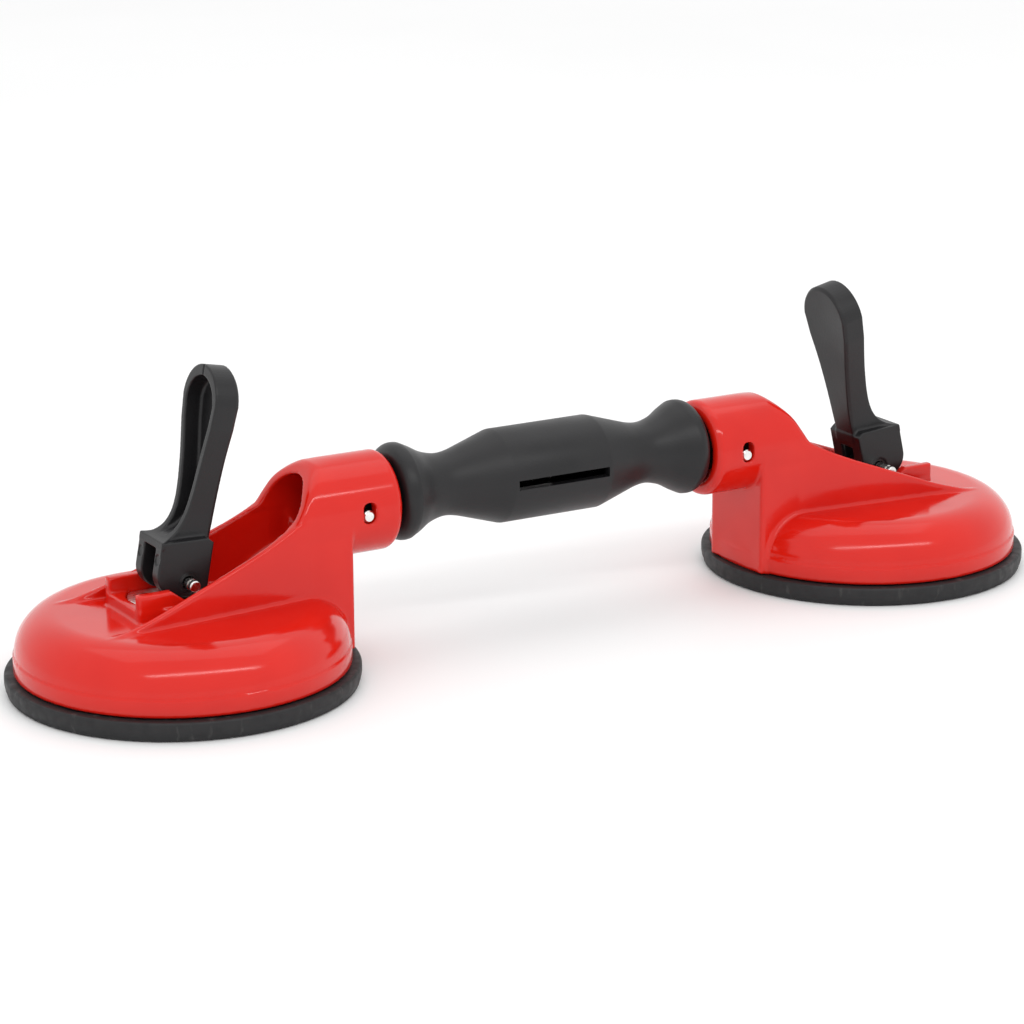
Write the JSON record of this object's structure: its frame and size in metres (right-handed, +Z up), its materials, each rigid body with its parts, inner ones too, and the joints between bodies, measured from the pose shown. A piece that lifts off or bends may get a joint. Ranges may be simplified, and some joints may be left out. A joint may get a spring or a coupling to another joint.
{
  "type": "double suction lifter",
  "caption": "Double suction lifter: a turned hand grip pinned between cam-lever suction heads with rubber pads, for carrying smooth sheets.",
  "frame": {"origin": "on the floor under the middle of the grip, where the pads stand", "axes": "+X along the grip towards the right head, +Y towards the back, +Z up"},
  "size_m": [0.405, 0.1216, 0.1103],
  "materials": {
    "red_plastic": "gloss moulded",
    "black_plastic": "fine spark-eroded grain",
    "rubber": "matt, scuffed",
    "bright_steel": "zinc plated",
    "dark_steel": "black oxide"
  },
  "bodies": {
    "handle": {"grip": "black_plastic", "left_core_rod": "bright_steel", "right_core_rod": "bright_steel", "left_cross_pin": "bright_steel", "right_cross_pin": "bright_steel"},
    "left_head": {"left_housing": "red_plastic", "left_wear_plate": "bright_steel", "left_suction_pad": "rubber"},
    "left_draw": {"left_draw_stem": "dark_steel", "left_pad_boss": "rubber", "left_pad_plate": "bright_steel"},
    "left_lever_arm": {"left_lever": "black_plastic", "left_lever_pin": "bright_steel"},
    "right_head": {"right_housing": "red_plastic", "right_wear_plate": "bright_steel", "right_suction_pad": "rubber"},
    "right_draw": {"right_draw_stem": "dark_steel", "right_pad_boss": "rubber", "right_pad_plate": "bright_steel"},
    "right_lever_arm": {"right_lever": "black_plastic", "right_lever_pin": "bright_steel"}
  },
  "joints": [
    {"name": "left_head_tilt", "type": "hinge", "parent": "handle", "child": "left_head", "pos_m": [-0.0779, 0, 0.0534], "axis": [0, 1, 0], "range_deg": [-4, 4]},
    {"name": "left_draw_lift", "type": "slide", "parent": "left_head", "child": "left_draw", "axis": [0, 0, 1], "range_m": [0, 0.0063]},
    {"name": "left_lever_turn", "type": "hinge", "parent": "left_draw", "child": "left_lever_arm", "pos_m": [-0.1427, 0, 0.0381], "axis": [0, -1, 0], "range_deg": [0, 101]},
    {"name": "right_head_tilt", "type": "hinge", "parent": "handle", "child": "right_head", "pos_m": [0.0779, 0, 0.0534], "axis": [0, 1, 0], "range_deg": [-4, 4]},
    {"name": "right_draw_lift", "type": "slide", "parent": "right_head", "child": "right_draw", "axis": [0, 0, 1], "range_m": [0, 0.0063]},
    {"name": "right_lever_turn", "type": "hinge", "parent": "right_draw", "child": "right_lever_arm", "pos_m": [0.1427, 0, 0.0381], "axis": [0, 1, 0], "range_deg": [0, 103]}
  ],
  "couplings": [
    {"joint": "left_draw_lift", "follows": "left_lever_turn", "m_per_rad": 0.0035},
    {"joint": "right_draw_lift", "follows": "right_lever_turn", "m_per_rad": 0.0035}
  ]
}
